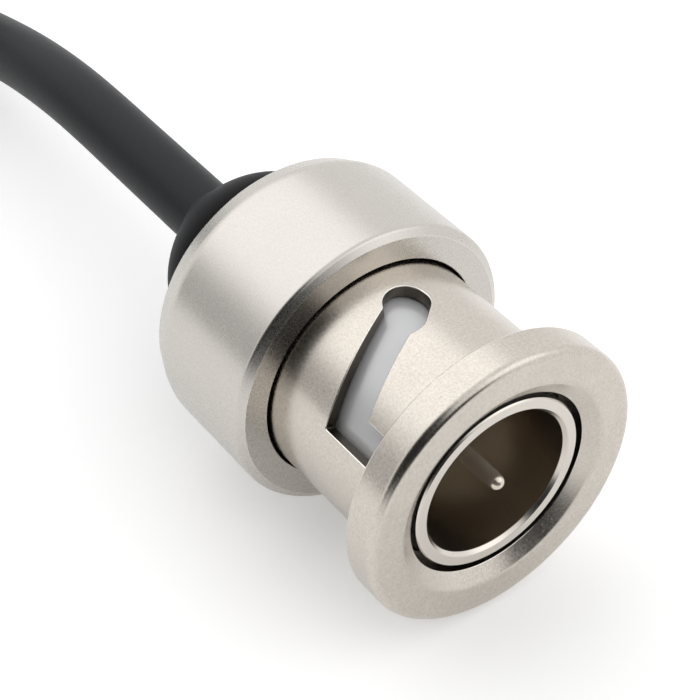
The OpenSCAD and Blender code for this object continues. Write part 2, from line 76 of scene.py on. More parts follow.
@dataclass(frozen=True)
class Surface:
    """Triangles with a normal and a tone at every point.

    Attributes:
        points: places, n by 3.
        normals: unit normals, n by 3.
        tone: 1 on worn edges, partly wear and partly a painted highlight, 0 where the surface
        is plain, and -1 where painted shade darkens it, n values.
        triangles: point numbers, m by 3.
    """

    points: Array
    normals: Array
    tone: Array
    triangles: Array

    @staticmethod
    def grid(points: Array, normals: Array, tone: Array | float) -> "Surface":
        """Joins rows and columns of points into triangles. The last column joins the first one.

        Args:
            points: places, rows by columns by 3.
            normals: normals of the same shape.
            tone: one value for each point, or for each row, or for all.

        Returns:
            The surface, not yet welded.
        """
        rows, columns = points.shape[:2]
        number = np.arange(rows * columns).reshape(rows, columns)
        ahead = np.roll(number, -1, axis=1)
        a, b, c, d = (part.ravel() for part in (number[:-1], ahead[:-1], ahead[1:], number[1:]))
        triangles = np.concatenate([np.stack([a, b, c], 1), np.stack([a, c, d], 1)])
        tones = np.broadcast_to(tone, (rows, columns)).ravel()
        return Surface(points.reshape(-1, 3), normals.reshape(-1, 3), tones, triangles)

    @staticmethod
    def joined(parts: list["Surface"]) -> "Surface":
        """Puts several surfaces into one, not yet welded."""
        starts = np.cumsum([0] + [len(part.points) for part in parts[:-1]])
        return Surface(
            np.concatenate([part.points for part in parts]),
            np.concatenate([part.normals for part in parts]),
            np.concatenate([part.tone for part in parts]),
            np.concatenate([part.triangles + start for part, start in zip(parts, starts)]))

    def welded(self) -> "Surface":
        """Merges points that lie within ten nanometres, and drops the triangles that collapse."""
        cells = np.round(self.points / WELD).astype(np.int64)
        _, first, number = np.unique(cells, axis=0, return_index=True, return_inverse=True)
        triangles = number.reshape(-1)[self.triangles]
        a, b, c = triangles.T
        triangles = triangles[(a != b) & (b != c) & (c != a)]
        return Surface(self.points[first], self.normals[first], self.tone[first], triangles)

    def facing_out(self) -> "Surface":
        """Turns each triangle so that it faces the way its points' normals do."""
        a, b, c = (self.points[self.triangles[:, k]] for k in range(3))
        mean = self.normals[self.triangles].sum(axis=1)
        inward = np.einsum("ij,ij->i", np.cross(b - a, c - a), mean) < 0
        triangles = np.where(inward[:, None], self.triangles[:, ::-1], self.triangles)
        return replace(self, triangles=triangles)

    def piece(self, name: str, material: bpy.types.Material) -> Thing:
        """Makes the mesh and its object, with the given normals and the tone as an attribute.

        Args:
            name: name of the piece.
            material: its finish.

        Returns:
            The object, at the origin.
        """
        out = self.welded().facing_out()
        mesh = bpy.data.meshes.new(name)
        mesh.from_pydata(out.points.tolist(), [], out.triangles.tolist())
        mesh.polygons.foreach_set("use_smooth", np.ones(len(out.triangles), bool))
        mesh.normals_split_custom_set_from_vertices(out.normals.tolist())
        attribute = mesh.attributes.new("tone", "FLOAT", "POINT")
        attribute.data.foreach_set("value", out.tone.astype(np.float32))
        mesh.materials.append(material)
        mesh.update()
        made = bpy.data.objects.new(name, mesh)
        bpy.context.scene.collection.objects.link(made)
        return made


def unit(vectors: Array) -> Array:
    """Scales vectors on the last axis to length one."""
    return vectors / np.linalg.norm(vectors, axis=-1, keepdims=True)


def way_along(points: Array) -> Array:
    """Distance of each point from the first one, along the line through all of them."""
    return np.append(0, np.cumsum(np.linalg.norm(np.diff(points, axis=0), axis=1)))


def smooth_step(low: float, high: float, value: Array) -> Array:
    """Rises from 0 at low to 1 at high, as three squares less two cubes."""
    t = np.clip((value - low) / (high - low), 0, 1)
    return t * t * (3 - 2 * t)


@dataclass(frozen=True)
class Outline:
    """A turned profile as points of depth and radius, with normals and tones.

    A corner gets a pale colour, partly wear and partly a painted highlight, where it stands out,
    turns by more than the turn limit below and is rounded by less than the radius limit below.
    """

    points: Array
    normals: Array
    tone: Array

    ARC_STEPS = 6
    RUBBED_HIGHLIGHT_TURN = math.radians(20)
    RUBBED_HIGHLIGHT_R = 0.15 * MM
    RUBBED_HIGHLIGHT_TONE = 0.6
    ON_AXIS = 1e-9

    @staticmethod
    def rounded(corners: list[Corner], closed: bool = True) -> "Outline":
        """Rounds the corners of a profile.

        At a corner that turns by an angle, an arc of the given radius starts and ends on the two
        edges, at that radius times the tangent of half the angle from the corner. Its normal
        turns evenly from one edge's normal to the other's.

        Args:
            corners: depth, radius and rounding of each corner, in order.
            closed: whether the last corner joins the first. An open profile keeps its two ends.

        Returns:
            The rounded profile. A closed one ends with its first point.
        """
        table = np.array(corners, float)
        place, rounding = table[:, :2], table[:, 2]
        before, after = np.roll(place, 1, axis=0), np.roll(place, -1, axis=0)
        side = math.copysign(1, np.sum(place[:, 0] * after[:, 1] - after[:, 0] * place[:, 1]))
        coming, going = unit(place - before), unit(after - place)
        if not closed:
            coming[0], going[-1] = going[0], coming[-1]
        cross = coming[:, 0] * going[:, 1] - coming[:, 1] * going[:, 0]
        turn = np.arctan2(cross, np.sum(coming * going, axis=1))
        share = np.where(rounding[:, None] > 0, np.linspace(0, 1, Outline.ARC_STEPS + 1), 0.5)
        cos, sin = np.cos(turn[:, None] * share), np.sin(turn[:, None] * share)
        normal = side * np.stack([coming[:, 1], -coming[:, 0]], 1)
        a, b = normal[:, :1], normal[:, 1:]
        turned = np.stack([a * cos - b * sin, a * sin + b * cos], -1)
        bend = np.sign(turn * side)[:, None]
        start = place - coming * (rounding * np.tan(np.abs(turn) / 2))[:, None]
        centre = start - normal * bend * rounding[:, None]
        points = (centre[:, None] + turned * (bend * rounding[:, None])[:, None]).reshape(-1, 2)
        normals = turned.reshape(-1, 2)
        on_axis = points[:, 1] < Outline.ON_AXIS
        normals[on_axis] = np.sign(normals[on_axis]) * [1, 0]
        # standing-out sharp corners get a pale colour, partly wear and partly a painted highlight
        sharp = (bend > 0) & (np.abs(turn)[:, None] > Outline.RUBBED_HIGHLIGHT_TURN)
        sharp &= rounding[:, None] < Outline.RUBBED_HIGHLIGHT_R
        tone = np.where(sharp, Outline.RUBBED_HIGHLIGHT_TONE * np.sin(math.pi * share), 0).ravel()
        if closed:
            return Outline(*(np.append(part, part[:1], 0) for part in (points, normals, tone)))
        return Outline(points, normals, tone)


# ---- where the two plugs lie ----


@dataclass(frozen=True)
class Place:
    """Where one plug lies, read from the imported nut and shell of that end.

    Attributes:
        prefix: what its node and body names start with.
        facing: 1 where the plug faces +X, and -1 where it faces -X.
        face_x: place of its mating face.
        axis_z: height of its axis.
        back_x: place where the cable leaves the boot.
    """

    prefix: str
    facing: float
    face_x: float
    axis_z: float
    back_x: float

    @staticmethod
    def of(prefix: str, facing: float) -> "Place":
        """Reads the place of one plug from its imported nodes, by its prefix and the way it faces.
        """
        nut_low, nut_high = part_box(prefix + "coupling_nut")
        boot_low, boot_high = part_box(prefix + "cable_boot")
        face_x, back_x = (nut_high.x, boot_low.x) if facing > 0 else (nut_low.x, boot_high.x)
        return Place(prefix, facing, face_x, (nut_low.z + nut_high.z) / 2, back_x)

    def at(self, depth: Array, radius: Array, angle: Array) -> Array:
        """Points at depths, radii and angles, with x, y and z on the last axis."""
        x = self.face_x - self.facing * depth
        y = self.facing * radius * np.cos(angle)
        z = self.axis_z + radius * np.sin(angle)
        return np.stack(np.broadcast_arrays(x, y, z), axis=-1)

    def direction(self, inward: Array, out: Array, around: Array, angle: Array) -> Array:
        """Directions from their parts along the depth, the radius and the turn."""
        x = -self.facing * inward
        y = self.facing * (out * np.cos(angle) - around * np.sin(angle))
        z = out * np.sin(angle) + around * np.cos(angle)
        return np.stack(np.broadcast_arrays(x, y, z), axis=-1)

    def turned(self, outline: Outline, angles: Array) -> Surface:
        """Turns a profile about the plug's axis.

        Args:
            outline: the profile.
            angles: the columns' angles, once round.

        Returns:
            A surface whose rows follow the profile and whose columns go round.
        """
        points = self.at(outline.points[:, :1], outline.points[:, 1:], angles)
        normals = self.direction(outline.normals[:, :1], outline.normals[:, 1:], 0, angles)
        return Surface.grid(points, normals, outline.tone[:, None])


def even_turn(count: int = 256) -> Array:
    """Angles evenly round one turn."""
    return np.arange(count) * (2 * math.pi / count)


# ---- node trees ----


class Sketch:
    """Adds nodes and links to one node tree in few words."""

    def __init__(self, tree: bpy.types.NodeTree) -> None:
        """Starts on an emptied tree."""
        tree.nodes.clear()
        self.tree = tree

    def node(self, kind: str, **values: object) -> bpy.types.Node:
        """Adds a node. A value's name is a property, or an input where it ends in an underscore."""
        made = self.tree.nodes.new(kind)
        for name, value in values.items():
            if name.endswith("_"):
                self.feed(value, made.inputs[name[:-1].replace("_", " ")])
            else:
                setattr(made, name, value)
        return made

    def feed(self, term: object, target: Socket) -> None:
        """Links an output to an input, or sets the input to a value."""
        if isinstance(term, Socket):
            self.tree.links.new(term, target)
        else:
            target.default_value = term

    def math(self, operation: str, *terms: object, clamp: bool = False) -> Socket:
        """Adds a Math node over numbers and outputs, and gives its output."""
        made = self.node("ShaderNodeMath", operation=operation, use_clamp=clamp)
        for number, term in enumerate(terms):
            self.feed(term, made.inputs[number])
        return made.outputs[0]

    def vector(self, operation: str, *terms: object) -> Socket:
        """Adds a Vector Math node, and gives the output that its operation fills."""
        made = self.node("ShaderNodeVectorMath", operation=operation)
        for number, term in enumerate(terms):
            self.feed(term, made.inputs[number if operation != "SCALE" or number == 0 else 3])
        return made.outputs["Value" if operation in ("DOT_PRODUCT", "LENGTH") else "Vector"]

    def mix(self, share: object, first: object, second: object) -> Socket:
        """Mixes two colours by a share, and gives the mixed colour."""
        made = self.node("ShaderNodeMix", data_type="RGBA", Factor_=share)
        self.feed(first, made.inputs[6])
        self.feed(second, made.inputs[7])
        return made.outputs[2]

    def noise(self, coordinates: object, scale: object, detail: float = 2.0) -> Socket:
        """Adds a noise and gives its value."""
        made = self.node("ShaderNodeTexNoise", Vector_=coordinates, Scale_=scale, Detail_=detail)
        return made.outputs["Fac"]

    def blend(self, first: object, share: float, second: object, rest: float) -> Socket:
        """Adds two outputs, each times its share."""
        added = self.math("MULTIPLY", second, rest)
        return self.math("ADD", self.math("MULTIPLY", first, share), added)

    def step(self, value: object, low: object, high: object) -> Socket:
        """Rises smoothly from 0 where the value is low to 1 where it is high."""
        made = self.node("ShaderNodeMapRange", interpolation_type="SMOOTHSTEP", Value_=value,
                         From_Min_=low, From_Max_=high)
        return made.outputs["Result"]

    def split(self, vector: object) -> bpy.types.NodeOutputs:
        """Takes a vector apart into X, Y and Z."""
        return self.node("ShaderNodeSeparateXYZ", Vector_=vector).outputs


SURFACE_INPUTS = {
    "Coordinates": "Vector", "Color": "Color", "Rubbed Color": "Color", "Dull Color": "Color",
    "Tone": "Float", "Roughness": "Float", "Scale": "Float", "Contrast": "Float", "Swing": "Float",
}
SURFACE_OUTPUTS = {"Color": "Color", "Roughness": "Float", "Height": "Float"}


def finish_group(name: str, pattern: Callable[[Sketch, object], Socket]) -> bpy.types.NodeTree:
    """Makes a group that varies a colour, a roughness and a height by one pattern.

    The colour is multiplied by one plus the contrast times the pattern's distance from a half,
    and the roughness gains the swing times that distance. A tone above 0 mixes in the pale edge
    colour, partly wear and partly a painted highlight, and takes up to a tenth off the roughness.
    A tone below 0 mixes in the painted shade colour.

    Args:
        name: the group's name.
        pattern: a function of the sketch and the group's inputs that gives the pattern's value.

    Returns:
        The group.
    """
    tree = bpy.data.node_groups.new(name, "ShaderNodeTree")
    for where, sockets in (("INPUT", SURFACE_INPUTS), ("OUTPUT", SURFACE_OUTPUTS)):
        for label, kind in sockets.items():
            tree.interface.new_socket(name=label, in_out=where, socket_type="NodeSocket" + kind)
    sketch = Sketch(tree)
    given = sketch.node("NodeGroupInput").outputs
    value = pattern(sketch, given)
    swing = sketch.math("SUBTRACT", value, 0.5)
    level = sketch.math("MULTIPLY_ADD", swing, given["Contrast"], 1.0)
    # a positive tone mixes in the pale edge colour, partly wear and partly a painted highlight; a
    # negative tone mixes in painted shade
    rubbed = sketch.math("MAXIMUM", given["Tone"], 0.0)
    dull = sketch.math("MAXIMUM", sketch.math("MULTIPLY", given["Tone"], -1.0), 0.0)
    plain = sketch.mix(rubbed, given["Color"], given["Rubbed Color"])
    base = sketch.mix(dull, plain, given["Dull Color"])
    rough = sketch.math("MULTIPLY_ADD", swing, given["Swing"], given["Roughness"])
    polish = sketch.math("MULTIPLY_ADD", rubbed, -0.1, 1.0)
    sketch.node("NodeGroupOutput", Color_=sketch.vector("SCALE", base, level),
                Roughness_=sketch.math("MULTIPLY", rough, polish, clamp=True), Height_=value)
    return tree


def blasted_pattern(sketch: Sketch, given: bpy.types.NodeOutputs) -> Socket:
    """Fine even grain with a little broad cloudiness: two noises, one much finer."""
    fine = sketch.noise(given["Coordinates"], given["Scale"], 2.5)
    broad = sketch.noise(given["Coordinates"], sketch.math("MULTIPLY", given["Scale"], 0.06))
    return sketch.blend(fine, 0.8, broad, 0.2)


def turned_pattern(sketch: Sketch, given: bpy.types.NodeOutputs) -> Socket:
    """Tool marks of turning: noise over the place along the axis and the distance from it."""
    parts = sketch.split(given["Coordinates"])
    across = sketch.node("ShaderNodeCombineXYZ", Y_=parts["Y"], Z_=parts["Z"])
    away = sketch.vector("LENGTH", across.outputs[0])
    place = sketch.node("ShaderNodeCombineXYZ", X_=parts["X"], Y_=away)
    return sketch.noise(place.outputs[0], given["Scale"], 3.0)


def skin_pattern(sketch: Sketch, given: bpy.types.NodeOutputs) -> Socket:
    """Moulded polymer skin: two noises, one five times as fine as the other."""
    soft = sketch.noise(given["Coordinates"], given["Scale"], 3.0)
    fine = sketch.noise(given["Coordinates"], sketch.math("MULTIPLY", given["Scale"], 5.0), 1.0)
    return sketch.blend(soft, 0.6, fine, 0.4)


def weave_pattern(sketch: Sketch, given: bpy.types.NodeOutputs) -> Socket:
    """Plain weave: the product of two sines across each other, with their threads' unevenness."""
    scaled = sketch.vector("SCALE", given["Coordinates"], given["Scale"])
    parts = sketch.split(scaled)
    warp, weft = (
        sketch.math("SINE", sketch.math("MULTIPLY", parts[way], 2 * math.pi)) for way in "XY")
    raised = sketch.math("MULTIPLY_ADD", sketch.math("MULTIPLY", warp, weft), 0.35, 0.35)
    return sketch.math("ADD", raised, sketch.math("MULTIPLY", sketch.noise(scaled, 1.7), 0.3))


class Pattern(Enum):
    """The surface patterns: the group's name and the function that draws it."""

    BLASTED = ("blasted_grain", blasted_pattern)
    TURNED = ("turned_marks", turned_pattern)
    SKIN = ("moulded_skin", skin_pattern)
    WEAVE = ("plain_weave", weave_pattern)

    def group(self) -> bpy.types.NodeTree:
        """Gives the pattern's node group, which is built the first time."""
        name, draw = self.value
        return bpy.data.node_groups.get(name) or finish_group(name, draw)


@dataclass(frozen=True)
class Finish:
    """One finish: a Principled surface varied by one pattern.

    Attributes:
        label: the material's name.
        pattern: which pattern varies it.
        color: base colour, linear.
        roughness: mean roughness.
        metallic: 1 for metal.
        rubbed: colour where the tone is 1, partly wear and partly a painted highlight,
            or None where the piece has no tones.
        dull: colour where the tone is -1, painted shade where the piece lies in shade.
        scale: the pattern's fineness, in repeats per metre.
        contrast: how far the pattern moves the colour.
        swing: how far it moves the roughness.
        bump: height of the pattern.
        sheen: weight of a cloth sheen.
        specular: level of the clear reflection of a surface that isn't metal.
        toned_metallic: how metallic it is where the tone is 1 or -1, or None where that is no
            different.
    """

    label: str
    pattern: Pattern
    color: Color
    roughness: float
    metallic: float = 0.0
    rubbed: Color | None = None
    # the default painted shade: dark brown for slot walls and bores that lie in shade
    dull: Color = (0.14, 0.122, 0.105)
    scale: float = 9000.0
    contrast: float = 0.1
    swing: float = 0.1
    bump: float = 0.002 * MM
    sheen: float = 0.0
    specular: float = 0.5
    toned_metallic: float | None = None

    def material(self) -> bpy.types.Material:
        """Gives the finish's material, which is built the first time."""
        return bpy.data.materials.get(self.label) or self.built()

    def built(self) -> bpy.types.Material:
        """Builds the material: coordinates, pattern group, bump and Principled surface."""
        made = bpy.data.materials.new(self.label)
        made.use_nodes = True
        sketch = Sketch(made.node_tree)
        places = sketch.node("ShaderNodeTexCoord").outputs
        source = places["UV"]
        if self.pattern is not Pattern.WEAVE:
            low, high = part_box("coupling_nut")
            source = sketch.node("ShaderNodeMapping", Vector_=places["Object"],
                                 Location_=(0, 0, -(low.z + high.z) / 2)).outputs[0]
        tone, metal = 0.0, self.metallic
        if self.rubbed:
            tone = sketch.node("ShaderNodeAttribute", attribute_name="tone").outputs["Fac"]
        if self.toned_metallic is not None:
            toned = sketch.math("ABSOLUTE", tone)
            metal = sketch.math("MULTIPLY_ADD", toned, self.toned_metallic - metal, metal)
        group = sketch.node(
            "ShaderNodeGroup", node_tree=self.pattern.group(), Coordinates_=source, Tone_=tone,
            Color_=(*self.color, 1), Rubbed_Color_=(*(self.rubbed or self.color), 1),
            Dull_Color_=(*self.dull, 1), Roughness_=self.roughness, Scale_=self.scale,
            Contrast_=self.contrast, Swing_=self.swing).outputs
        bump = sketch.node(
            "ShaderNodeBump", Strength_=1.0, Distance_=self.bump, Height_=group["Height"])
        surface = sketch.node(
            "ShaderNodeBsdfPrincipled", Base_Color_=group["Color"], Roughness_=group["Roughness"],
            Metallic_=metal, Sheen_Weight_=self.sheen, Specular_IOR_Level_=self.specular,
            Normal_=bump.outputs["Normal"])
        sketch.node("ShaderNodeOutputMaterial", Surface_=surface.outputs[0])
        return made

# pale colour of worn edge crests, partly wear and partly a painted highlight
RUBBED_HIGHLIGHT_NICKEL: Color = (0.88, 0.85, 0.80)
FINISHES = {
    "nut_nickel": Finish(
        "finish_nut_nickel", Pattern.BLASTED, (0.615, 0.57, 0.513), 0.24, 1.0, RUBBED_HIGHLIGHT_NICKEL,
        contrast=0.6, swing=0.15, bump=0.0015 * MM),
    "shell_nickel": Finish(
        "finish_shell_nickel", Pattern.BLASTED, (0.60, 0.572, 0.533), 0.27, 1.0, RUBBED_HIGHLIGHT_NICKEL,
        contrast=0.27, bump=0.0015 * MM),
    # the contact's nose gets a pale colour, partly wear and partly a painted highlight; its insides
    # get a browner, fully metallic nickel as painted shade
    "contact_nickel": Finish(
        "finish_contact_nickel", Pattern.TURNED, (0.62, 0.622, 0.63), 0.26, 0.3,
        (0.70, 0.655, 0.60), (0.56, 0.495, 0.42), contrast=0.05, swing=0.05, bump=0.0003 * MM,
        specular=0.3, toned_metallic=1.0),
    "body_nickel": Finish(
        "finish_body_nickel", Pattern.TURNED, (0.55, 0.52, 0.48), 0.28, 1.0, scale=8000,
        bump=0.001 * MM),
    "pin_plating": Finish(
        "finish_pin_plating", Pattern.TURNED, (0.78, 0.70, 0.60), 0.2, 0.75, scale=14000,
        contrast=0.05, bump=0.0005 * MM),
    "spring_steel": Finish(
        "finish_spring_steel", Pattern.BLASTED, (0.33, 0.33, 0.34), 0.25, 1.0, scale=7000,
        bump=0.001 * MM),
    # the insulator's white PTFE is painted as it looks in shade: darker and yellower
    "insulator_white": Finish(
        "finish_shaded_insulator", Pattern.SKIN, (0.52, 0.47, 0.38), 0.45, scale=4000),
    "gasket_rubber": Finish(
        "finish_gasket_rubber", Pattern.SKIN, (0.02, 0.02, 0.021), 0.6, scale=5000),
    # the boot's near-black colour for tones below zero is painted shade by the shell
    "boot_rubber": Finish(
        "finish_boot_rubber", Pattern.SKIN, (0.042, 0.0425, 0.046), 0.5, 0.0,
        (0.042, 0.0425, 0.046), (0.0008, 0.0008, 0.0009), scale=5000, contrast=0.5, swing=0.2,
        bump=0.006 * MM, specular=0.05),
    "cable_jacket": Finish(
        "finish_cable_jacket", Pattern.SKIN, (0.019, 0.020, 0.0225), 0.42, scale=2500,
        contrast=0.4, swing=0.2, bump=0.01 * MM, specular=0.17),
    "cable_core": Finish(
        "finish_cable_core", Pattern.SKIN, (0.82, 0.80, 0.75), 0.4, scale=3000),
    "braid_copper": Finish(
        "finish_braid_copper", Pattern.BLASTED, (0.72, 0.42, 0.26), 0.3, 1.0, scale=4000,
        contrast=0.5, bump=0.02 * MM),
    "conductor_copper": Finish(
        "finish_conductor_copper", Pattern.TURNED, (0.80, 0.45, 0.27), 0.22, 1.0, scale=8000),
    "tie_strap": Finish(
        "finish_tie_strap", Pattern.WEAVE, (0.012, 0.012, 0.013), 0.85, scale=1.0, contrast=0.9,
        bump=0.08 * MM, sheen=0.25),
}


# ---- sub-assemblies ----


@dataclass(frozen=True)
class CouplingNut:
    """The bayonet nut: flange, lip, thin tube and two slots, with every edge rounded.

    The tube is unrolled at its outer radius. Round each slot lies a net of points that starts
    on the slot's edge and ends on a rectangle that spans half a turn, and two such nets meet
    the turned front and the turned rear of the nut.

    Attributes:
        place: where its plug lies.
        lock_turn: turn from the keyway's middle to the round end, in degrees.
        ramp_front: depths at the two ends of the ramp's front edge, and its power.
        ramp_rear: the same for its rear edge.
        seat_angle: turn from the locked lug's seat to the round end, in degrees.
        corner: size of the blur that rounds the slot's corners.
        net_rows: rows of the net, which lie closer by the slot as net_power grows.
        runs: number of points in each run of the slot's edge, and of the net's border.
        front_stop: share of the keyway's front where one run ends.
        rear_stops: ends of the runs on the border's rear, in radii of the round end.
        walk_points: points on each long edge of the slot before it is divided.
        curve_points: points on the whole of it while it is blurred.
    """

    place: Place
    flange_r: float = 7.45 * MM
    flange_t: float = 1.85 * MM
    flange_roll: float = 0.42 * MM
    mouth_roll: float = 0.6 * MM
    mouth_r: float = 5.7 * MM
    mouth_depth: float = 0.5 * MM
    bore_r: float = 4.9 * MM
    lip_l: float = 2.0 * MM
    relief_r: float = 5.3 * MM
    tube_r: float = 5.9 * MM
    root_fillet: float = 0.3 * MM
    groove_r: float = 5.6 * MM
    groove: tuple[float, float] = (12.0 * MM, 12.52 * MM)
    end: float = 13.0 * MM
    slot_half: float = 0.86 * MM
    keyway_angle: float = 150.0
    lock_turn: float = 60.0
    keyway_front: float = 2.34 * MM
    ramp_front: tuple[float, float, float] = (3.75 * MM, 5.91 * MM, 1.55)
    ramp_rear: tuple[float, float, float] = (6.05 * MM, 7.92 * MM, 1.7)
    seat_angle: float = 7.3
    seat_depth: float = 6.75 * MM
    end_depth: float = 7.42 * MM
    detent_r: float = 1.09 * MM
    slot_edge: float = 0.06 * MM
    corner: float = 0.06 * MM
    net_front: float = 2.2 * MM
    net_rear: float = 9.2 * MM
    net_rows: int = 15
    net_power: float = 1.4
    runs: tuple[int, ...] = (110, 26, 34, 40, 110, 26, 24, 40)
    front_stop: float = 0.35
    rear_stops: tuple[float, float] = (1.5, -0.9)
    walk_points: int = 1500
    curve_points: int = 2048

    def arc(self, degrees: float) -> float:
        """Length of an angle along the tube's outside."""
        return self.tube_r * math.radians(degrees)

    def keyway_sides(self) -> tuple[float, float]:
        """Arcs of the keyway's near and far sides."""
        half = self.tube_r * math.asin(self.slot_half / self.tube_r)
        return self.arc(self.lock_turn) - half, self.arc(self.lock_turn) + half

    def edges(self, u: Array) -> tuple[Array, Array]:
        """Front and rear depths of the slot's curved part, at places along the unrolled tube.

        Each edge of the ramp goes from one depth at the keyway's far side to another at the
        seat, by a power of the share of the way. The front is the least depth there of the ramp,
        the seat and the round end, which are circles, and the band that joins the two circles.
        The rear is the greater depth of the ramp and the round end, and keeps a small notch
        where the two meet.

        Args:
            u: places from the round end's middle, towards the keyway.

        Returns:
            The front and the rear depths.
        """
        keyway_far = self.lock_turn + math.degrees(math.asin(self.slot_half / self.bore_r))
        share = (keyway_far - np.degrees(u / self.tube_r)) / (keyway_far - self.seat_angle)
        seat_u = self.arc(self.seat_angle)
        share = np.clip(share, 0, 1)
        front, rear = (
            np.where(u >= seat_u, low + (high - low) * share ** power, elsewhere) for
            (low, high, power), elsewhere in ((self.ramp_front, np.inf), (self.ramp_rear, -np.inf)))
        for centre, depth in ((0.0, self.end_depth), (seat_u, self.seat_depth)):
            reach = np.sqrt(np.clip(self.detent_r ** 2 - (u - centre) ** 2, 0, None))
            inside = np.abs(u - centre) <= self.detent_r
            front = np.where(inside, np.minimum(front, depth - reach), front)
            rear = np.where(inside & (centre == 0), np.maximum(rear, depth + reach), rear)
        along = np.array([seat_u, self.seat_depth - self.end_depth])
        across = np.array([-along[1], along[0]]) / np.linalg.norm(along) * self.detent_r
        t = (u + across[0]) / along[0]
        band = self.end_depth - across[1] + t * along[1]
        return np.where((t >= 0) & (t <= 1), np.minimum(front, band), front), rear

    def loop(self) -> tuple[Array, Array]:
        """The slot's edge, unrolled, with its outward directions.

        The edge is walked from the round end's far side: the front edge, the keyway's near side,
        its front, its far side and the rear edge. Its corners are rounded by a Gaussian blur of
        the closed curve, and each run of it is divided evenly. Runs also end at the notch, and at
        the round end's deepest place and half-way from there to its far side.

        Returns:
            Places and outward unit directions, each n by 2, as arc and depth.
        """
        sides = self.keyway_sides()
        share = 1 - np.cos(np.linspace(0, math.pi / 2, self.walk_points))
        u_front, u_rear = (-self.detent_r + (u + self.detent_r) * share for u in sides)
        front, rear = self.edges(u_front)[0], self.edges(u_rear)[1]
        walk = np.concatenate([
            np.stack([u_front, front], 1), [[u, self.keyway_front] for u in sides],
            np.stack([u_rear, rear], 1)[::-1]])
        closed = np.append(walk, walk[:1], axis=0)
        reached = way_along(closed)
        total = reached[-1]
        notch = int(np.argmin(np.where((u_rear > 0) & (u_rear < self.detent_r), rear, np.inf)))
        near, first, second = reached[len(u_front):len(u_front) + 3]
        dense = np.arange(self.curve_points) * (total / self.curve_points)
        curve = np.interp(dense, reached, closed[:, 0] + 1j * closed[:, 1])
        waves = np.fft.fftfreq(self.curve_points, total / self.curve_points)
        blur = np.exp(-2 * (math.pi * self.corner * waves) ** 2)
        curve = np.fft.ifft(np.fft.fft(curve) * blur)
        heading = np.gradient(np.concatenate([curve[-2:], curve, curve[:2]]))[2:-2]
        area = np.sum(curve.real * np.roll(curve.imag, -1) - np.roll(curve.real, -1) * curve.imag)
        outward = heading / np.abs(heading) * (-1j if area > 0 else 1j)
        eighth = self.detent_r * math.pi / 4
        stops = [eighth, near, first, first + self.front_stop * (second - first), second,
                 reached[len(walk) - 1 - notch], total - 2 * eighth, total - eighth, total + eighth]
        where = self.divided(np.array(stops))

        def sampled(values: Array) -> Array:
            """The closed curve's values at the divided places."""
            found = np.interp(where, dense, values, period=total)
            return np.stack([found.real, found.imag], 1)

        return sampled(curve), unit(sampled(outward))

    def divided(self, stops: Array) -> Array:
        """Points along a line of stops, each run of it divided evenly."""
        return np.concatenate([
            a + np.multiply.outer(np.arange(n) / n, b - a)
            for a, b, n in zip(stops[:-1], stops[1:], self.runs)])

    def border(self) -> Array:
        """Points on the border of a slot's half turn, one for each point of its edge."""
        near_u, far_u = self.keyway_sides()
        middle, quarter = (far_u - self.detent_r) / 2, math.pi * self.tube_r / 2
        top = [(u, self.net_front) for u in (middle - quarter, near_u, far_u, middle + quarter)]
        inner = [stop * self.detent_r for stop in self.rear_stops]
        low = [(u, self.net_rear) for u in (middle + quarter, *inner, middle - quarter)]
        return self.divided(np.array([*top, *low, top[0]]))

    def angle(self, u: Array, side: float) -> Array:
        """Angle of a place on the unrolled tube, for the slot on one side."""
        return math.radians(self.keyway_angle - self.lock_turn + side) + u / self.tube_r

    def slot_parts(self, side: float) -> list[Surface]:
        """Outer skin, inner skin and rim round one slot."""
        loop, outward = self.loop()
        rows = (np.linspace(0, 1, self.net_rows) ** self.net_power)[:, None, None]
        net = (1 - rows) * (loop + outward * self.slot_edge) + rows * self.border()
        angles = self.angle(net[..., 0], side)
        skins = [
            Surface.grid(self.place.at(net[..., 1], radius, angles),
                         self.place.direction(0, way, 0, angles), 0.0)
            for radius, way in ((self.tube_r, 1), (self.relief_r, -1))]
        return [*skins, self.rim(loop, outward, side)]

    def rim(self, loop: Array, outward: Array, side: float) -> Surface:
        """Wall of one slot with its two rounded edges.

        A profile is carried along the slot's edge. It is a quarter circle from the outer skin
        down to the wall, the wall, and a quarter circle from the wall to the inner skin. The
        outer edge's crest gets a pale colour, partly wear and partly a painted highlight, and the
        wall and the inner edge get painted shade, as they lie in shade.

        Args:
            loop: the slot's edge.
            outward: its outward directions.
            side: the slot's turn from the first one.

        Returns:
            The rim's surface.
        """
        turn, edge = np.linspace(0, math.pi / 2, 6), self.slot_edge
        sin, cos = np.sin(turn)[:, None], np.cos(turn)[:, None]
        away = edge * np.concatenate([1 - sin, 1 - cos])
        radius = np.concatenate([self.tube_r - edge * (1 - cos), self.relief_r + edge * (1 - sin)])
        up, inward = np.concatenate([cos, -sin]), np.concatenate([sin, cos])
        # the outer edge's crest: pale colour, partly wear and partly a painted highlight; wall and
        # inner edge: painted shade
        rubbed = np.sin(2 * turn)
        rubbed[-1] -= 1
        tone = np.concatenate([rubbed, np.full(len(turn), -1.0)])[:, None]
        angles = self.angle(loop[:, 0] + outward[:, 0] * away, side)
        points = self.place.at(loop[:, 1] + outward[:, 1] * away, radius, angles)
        normals = self.place.direction(-outward[:, 1] * inward, up, -outward[:, 0] * inward, angles)
        return Surface.grid(points, normals, tone)

    def columns(self, first: int, last: int) -> Array:
        """Angles of the border's points from one run to another, for both slots."""
        stops = np.cumsum((0,) + self.runs)
        u = self.border()[stops[first]:stops[last], 0]
        return np.concatenate([self.angle(u, side) for side in (0.0, 180.0)])

